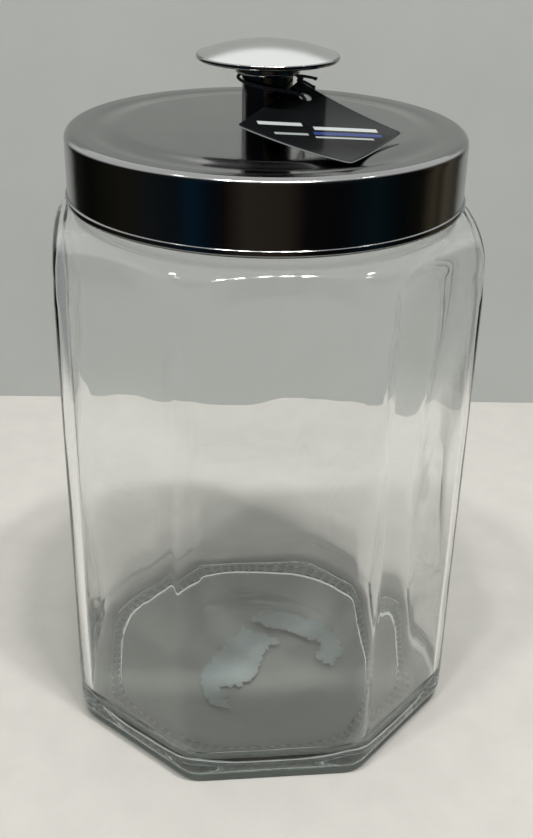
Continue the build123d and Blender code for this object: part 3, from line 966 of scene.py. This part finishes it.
def make_lid():
    mirror = polished_steel_material()
    satin = satin_steel_material()
    # The tube is the same steel with painted shade: its colour is scaled to 0.45 so that it looks dark
    tube = polished_steel_material("mirror_steel_tube", 0.45)
    lid = lathe("lid_shell_spun", lid_profile())
    post = lathe("knob_post_tube", post_profile(), steps=POST_STEPS)
    collar = lathe("knob_collar", collar_profile(), steps=POST_STEPS)
    cap = lathe("knob_cap_dome", cap_profile(), closed=False, steps=CAP_STEPS)
    rim = lathe("knob_cap_rim", cap_rim_profile(), steps=CAP_STEPS)
    for piece, material, slot in (
        (lid, mirror, "polished_steel"), (post, tube, "polished_steel"),
        (collar, mirror, "polished_steel"), (rim, mirror, "polished_steel"),
        (cap, satin, "satin_steel"),
    ):
        set_material(piece, material)
        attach(piece, "lid")
    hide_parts("lid_shell")
    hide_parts("knob_post")
    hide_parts("knob_cap")


def dress_cad_nodes():
    """Better finishes on the parts whose CAD shape is already right."""
    screw_steel = screw_steel_material()
    finishes = {
        "lid_liner": liner_material(), "seal_ring": seal_material(),
        "knob_screw": screw_steel, "screw_washer": screw_steel,
    }
    for name, material in finishes.items():
        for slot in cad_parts[name].material_slots:
            slot.material = material


# ---------------------------------------------------------------- tag
def card_rim(inset, count):
    """Points of the card's rounded diamond, moved in by inset, all the way round."""
    half = TAG_SIDE / 2 - inset
    corner = max(TAG_CORNER - inset, 0.4)
    flat = 2 * (half - corner)
    side = flat + corner * math.pi / 2
    points = []
    for i in range(count):
        s = 4 * side * i / count
        k, s = int(s // side), s % side
        if s < flat:
            p = Vector((half, -flat / 2 + s))
        else:
            angle = (s - flat) / corner
            p = Vector((half - corner + corner * math.cos(angle), flat / 2 + corner * math.sin(angle)))
        turn = Matrix.Rotation(math.radians(45 + 90 * k), 2)
        points.append(turn @ p)
    return points


def card_point(p, lift):
    """Flat card coordinates to the curled card in space; lift is along the card's normal."""
    x_axis = TAG_TOWARD_HOLE.normalized()
    normal = (TAG_NORMAL - x_axis * TAG_NORMAL.dot(x_axis)).normalized()
    y_axis = normal.cross(x_axis)
    curl = TAG_CURL - math.sqrt(TAG_CURL**2 - p.x**2)
    buckle = 0.10 * noise.noise(Vector((p.x * 0.05, p.y * 0.05, 2.0)))
    return TAG_CENTRE + x_axis * p.x + y_axis * p.y + normal * (curl + lift + buckle)


def card_stations():
    """Closed section of the card, as (part, value, lift): over its face and back under.

    The value is the growth at the hole, the inset at the rim, or the share of the way between them.
    """
    half = TAG_THICKNESS / 2
    side = half - CARD_EDGE
    stations = [("hole", 0.0, -side), ("hole", 0.0, side), ("hole", CARD_EDGE, half)]
    stations += [("mid", i / CARD_ROWS, half) for i in range(1, CARD_ROWS)]
    stations += [("rim", CARD_EDGE, half), ("rim", 0.0, side)]
    stations += [("rim", 0.0, -side), ("rim", CARD_EDGE, -half)]
    stations += [("mid", 1 - i / CARD_ROWS, -half) for i in range(1, CARD_ROWS)]
    stations += [("hole", CARD_EDGE, -half)]
    return stations


def card_row(part, value, rims):
    """Flat points of one station, all the way round."""
    hole = Vector((TAG_SIDE / math.sqrt(2) - TAG_HOLE_INSET, 0.0))
    row = []
    for outer in rims[value if part == "rim" else CARD_EDGE]:
        away = (outer - hole).normalized()
        inner = hole + away * (TAG_HOLE_R + (value if part == "hole" else CARD_EDGE))
        if part == "hole":
            row.append(inner)
        elif part == "rim":
            row.append(outer)
        else:
            row.append(inner.lerp(outer, value))
    return row


def mark_card(tag, flats, stations):
    """UVs from the flat card, and vertex values on its printed face and on its cut edges."""
    layer = tag.data.uv_layers.new(name="card")
    for loop in tag.data.loops:
        p = flats[loop.vertex_index]
        layer.data[loop.index].uv = (0.5 + p.y / CARD_UV_SPAN, 0.5 + p.x / CARD_UV_SPAN)
    face_mark = tag.data.attributes.new("face", "FLOAT", "POINT")
    edge_mark = tag.data.attributes.new("edge", "FLOAT", "POINT")
    nearly_half = TAG_THICKNESS / 2 - 0.01
    for i in range(len(flats)):
        part, _, lift = stations[i // CARD_COLUMNS]
        face_mark.data[i].value = 1.0 if lift > nearly_half else 0.0
        edge_mark.data[i].value = 1.0 if part != "mid" and abs(lift) < nearly_half else 0.0


def make_tag():
    rims = {inset: card_rim(inset, CARD_COLUMNS) for inset in (0.0, CARD_EDGE)}
    stations = card_stations()
    rows, flats = [], []
    for part, value, lift in stations:
        flat_row = card_row(part, value, rims)
        flats += flat_row
        rows.append([tuple(card_point(p, lift)) for p in flat_row])
    points, faces = skin(rows, closed=True)
    tag = build("hang_tag_card", points, faces, 50)
    mark_card(tag, flats, stations)
    set_material(tag, card_material())
    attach(tag, "tag")
    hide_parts("hang_tag")


# ---------------------------------------------------------------- string
def route_line():
    """Points read from the string's own NURBS line."""
    curve = bpy.data.curves.new("string_route", "CURVE")
    curve.dimensions = "3D"
    spline = curve.splines.new("NURBS")
    spline.points.add(len(STRING_ROUTE) - 1)
    for point, place in zip(spline.points, STRING_ROUTE):
        point.co = (*place, 1.0)
    spline.order_u = 3
    spline.use_endpoint_u = True
    spline.resolution_u = 24
    carrier = bpy.data.objects.new("string_route", curve)
    mesh = bpy.data.meshes.new_from_object(carrier)
    line = [vertex.co.copy() for vertex in mesh.vertices]
    bpy.data.objects.remove(carrier)
    bpy.data.meshes.remove(mesh)
    bpy.data.curves.remove(curve)
    return line


STRAND_R = 0.27
STRAND_OFFSET = 0.24
TWIST_PITCH = 2.3


def strand_section(turn, points=24):
    """Section of three strands laid together, turned by an angle."""
    section = []
    for i in range(points):
        angle = math.tau * i / points
        lobe = (angle + math.pi / 3) % (math.tau / 3) - math.pi / 3
        across = STRAND_OFFSET * math.sin(lobe)
        r = STRAND_OFFSET * math.cos(lobe) + math.sqrt(STRAND_R**2 - across**2)
        section.append((r * math.cos(angle + turn), r * math.sin(angle + turn)))
    return section


def twisted(name, line, closed, scale=1.0):
    """Three-strand string swept along a line of points in metres."""
    count = len(line)
    side = Vector((0.0, 0.0, 1.0))
    rows, travelled = [], 0.0
    for i, point in enumerate(line):
        after = line[(i + 1) % count] if closed or i + 1 < count else point
        before = line[i - 1] if closed or i > 0 else point
        tangent = (after - before).normalized()
        side = (side - tangent * side.dot(tangent)).normalized()
        up = tangent.cross(side)
        if i > 0:
            travelled += (point - line[i - 1]).length / MM
        turn = math.tau * travelled / TWIST_PITCH
        wobble = scale * (1 + 0.06 * noise.noise(Vector((travelled * 1.7, 0.3, 0.9))))
        rows.append([
            tuple(point / MM + (side * a + up * b) * wobble) for a, b in strand_section(turn)
        ])
    if not closed:
        rows.insert(0, [tuple(line[0] / MM)])
        rows.append([tuple(line[-1] / MM)])
    points, faces = skin(rows, closed)
    return build(name, points, faces)


def knot_line(centre, size, tilt):
    """Closed trefoil line, in metres, for a tied knot."""
    turn = Matrix.Rotation(tilt, 3, "X") @ Matrix.Rotation(tilt * 0.6, 3, "Y")
    line = []
    for i in range(120):
        t = math.tau * i / 120
        p = Vector((
            math.sin(t) + 2 * math.sin(2 * t),
            math.cos(t) - 2 * math.cos(2 * t),
            -1.3 * math.sin(3 * t),
        ))
        line.append((centre + turn @ p * size) * MM)
    return line


def make_string():
    material = string_material()
    line = route_line()
    string = twisted("tag_string_twisted", line, closed=False)
    knot = twisted("string_knot_tied", knot_line(KNOT_CENTRE, KNOT_SIZE, 0.9), closed=True, scale=0.95)
    ends = []
    for number, place in enumerate((STRING_ROUTE[0], STRING_ROUTE[-1])):
        loop = knot_line(Vector(place) / MM, END_KNOT_SIZE, 0.4 + number)
        ends.append(twisted(f"string_end_{number}", loop, closed=True, scale=0.6))
    for piece in (string, knot, *ends):
        set_material(piece, material)
        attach(piece, "string")
    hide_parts("tag_string")
    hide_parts("string_knot")
    for end in ends:
        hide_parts("string_ends")


# ---------------------------------------------------------------- stage, light and camera
FLOOR_SPAN = 8.0
FLOOR_COLOUR = (0.70, 0.69, 0.655, 1.0)
WALL_SPAN = 6.0
WALL_PLACE = (0.026, 0.235, 0.0)
WALL_TURN = -5.1  # degrees
WALL_COLOUR = (0.60, 0.625, 0.615, 1.0)


def make_stage():
    """Pale floor, and a pale backdrop that only shows from the front."""
    bpy.ops.mesh.primitive_plane_add(size=FLOOR_SPAN, location=(0, 0, 0))
    floor = bpy.context.object
    floor.name = "stage_floor"
    set_material(floor, stage_material(
        "floor_finish", FLOOR_COLOUR, 60.0, (0.0, 0.05), 0.30, 0.10,
    ))
    side = WALL_SPAN / 2
    corners = [(-side, 0, 0), (side, 0, 0), (side, 0, side), (-side, 0, side)]
    mesh = bpy.data.meshes.new("stage_wall")
    mesh.from_pydata(corners, [], [(0, 1, 2, 3)])
    wall = link("stage_wall", mesh)
    wall.location = WALL_PLACE
    wall.rotation_euler = (0, 0, math.radians(WALL_TURN))
    set_material(wall, stage_material(
        "wall_finish", WALL_COLOUR, 9.0, (0.0, 0.0), 0.22, 0.12, top=0.37,
    ))


LAMPS = [  # x, y, power
    (-0.85, -0.12, 0.8), (-0.42, -0.40, 4.9), (-0.22, -0.40, 4.2), (0.0, -0.42, 2.4),
    (0.16, -0.42, 5.2), (0.32, -0.44, 7.2), (0.95, -0.12, 0.8),
]
LAMP_Z = 1.6
LAMP_SPAN = 0.11
LAMP_COLOUR = (1.0, 0.975, 0.94)


def make_lights():
    for number, (x, y, power) in enumerate(LAMPS):
        data = bpy.data.lights.new(f"lamp_{number}", "AREA")
        data.shape = "DISK"
        data.size = LAMP_SPAN
        data.energy = power
        data.color = LAMP_COLOUR
        lamp = bpy.data.objects.new(f"lamp_{number}", data)
        lamp.location = (x, y, LAMP_Z)
        bpy.context.scene.collection.objects.link(lamp)


ROOM_STREAKS = [  # share of a turn, seen from above, starting behind the object; colour
    (0.00, (0.090, 0.090, 0.085, 1)), (0.10, (0.020, 0.020, 0.018, 1)),
    (0.16, (0.006, 0.007, 0.006, 1)), (0.25, (0.022, 0.020, 0.014, 1)),
    (0.30, (0.016, 0.020, 0.022, 1)), (0.345, (0.010, 0.014, 0.018, 1)),
    (0.37, (0.005, 0.026, 0.052, 1)), (0.395, (0.004, 0.012, 0.022, 1)),
    (0.42, (0.008, 0.007, 0.006, 1)), (0.455, (0.060, 0.048, 0.038, 1)),
    (0.52, (0.046, 0.036, 0.027, 1)), (0.545, (0.008, 0.007, 0.007, 1)),
    (0.60, (0.005, 0.006, 0.007, 1)), (0.66, (0.006, 0.018, 0.024, 1)),
    (0.71, (0.004, 0.006, 0.007, 1)), (0.755, (0.012, 0.011, 0.009, 1)),
    (0.785, (0.110, 0.092, 0.060, 1)), (0.80, (0.040, 0.034, 0.024, 1)),
    (0.82, (0.150, 0.130, 0.095, 1)), (0.86, (0.050, 0.046, 0.036, 1)),
    (1.00, (0.110, 0.110, 0.100, 1)),
]


CEILING_COLOUR = (1.20, 1.21, 1.19, 1.0)
CEILING_LEAN = 0.8  # how far the ceiling's edge comes down behind the object
CEILING_EDGE = (0.50, 0.80)
GLASS_SEES = (0.26, 0.27, 0.265, 1.0)
FILL_LIGHT = (0.13, 0.135, 0.14, 1.0)
CAMERA_SEES = (0.50, 0.51, 0.50, 1.0)


def colour_ramp(g, value, stops):
    """Colour at a value between the places of (place, colour) stops."""
    ramp = g.add("ValToRGB", {"Fac": value})
    elements = ramp.color_ramp.elements
    for element, (place, colour) in zip(elements, (stops[0], stops[-1])):
        element.position = place
        element.color = colour
    for place, colour in stops[1:-1]:
        elements.new(place).color = colour
    return ramp.outputs[0]


def room_colour(g):
    """What mirrors see: soft vertical streaks round the horizon, under a bright ceiling."""
    split = g.add("SeparateXYZ", {0: g.add("TexCoord").outputs["Generated"]})
    x, y, z = split.outputs
    bearing = g.math("ARCTAN2", x, g.math("MULTIPLY", y, -1.0))
    streaks = colour_ramp(g, g.fit(bearing, -math.pi, math.pi), ROOM_STREAKS)
    height = g.add("Math", {0: y, 1: CEILING_LEAN, 2: z}, operation="MULTIPLY_ADD").outputs[0]
    return g.blend(g.fit(height, *CEILING_EDGE, smooth=True), streaks, CEILING_COLOUR)


def make_world():
    """Streaked room for mirror rays, and plain tones for glass, for fill light and for the camera."""
    g = Graph("surround", world=True)
    path = g.add("LightPath")
    colour = room_colour(g)
    colour = g.blend(path.outputs["Is Transmission Ray"], colour, GLASS_SEES)
    colour = g.blend(path.outputs["Is Diffuse Ray"], colour, FILL_LIGHT)
    colour = g.blend(path.outputs["Is Camera Ray"], colour, CAMERA_SEES)
    bpy.context.scene.world = g.finish(g.add("Background", {"Color": colour}).outputs[0])


CAMERA_PLACE = (-0.0365, -0.3623, 0.2993)
CAMERA_TILT = 27.5  # degrees down from level
CAMERA_HEADING = 6.05  # degrees right of straight ahead
CAMERA_ROLL = 1.2  # degrees
CAMERA_LENS = 48.0


def make_camera():
    data = bpy.data.cameras.new("front_camera")
    data.lens = CAMERA_LENS
    data.sensor_width = 36.0
    data.clip_start = 0.01
    camera = bpy.data.objects.new("front_camera", data)
    heading = Matrix.Rotation(math.radians(-CAMERA_HEADING), 4, "Z")
    tilt = Matrix.Rotation(math.radians(90 - CAMERA_TILT), 4, "X")
    roll = Matrix.Rotation(math.radians(CAMERA_ROLL), 4, "Z")
    camera.matrix_world = Matrix.Translation(CAMERA_PLACE) @ heading @ tilt @ roll
    bpy.context.scene.collection.objects.link(camera)
    bpy.context.scene.camera = camera


def set_view():
    scene = bpy.context.scene
    scene.view_settings.view_transform = "Standard"
    scene.cycles.max_bounces = 24
    scene.cycles.transmission_bounces = 20
    scene.cycles.glossy_bounces = 8
    scene.cycles.transparent_max_bounces = 24


make_jar()
make_scraps()
make_lid()
dress_cad_nodes()
make_tag()
make_string()
make_stage()
make_lights()
make_world()
make_camera()
set_view()
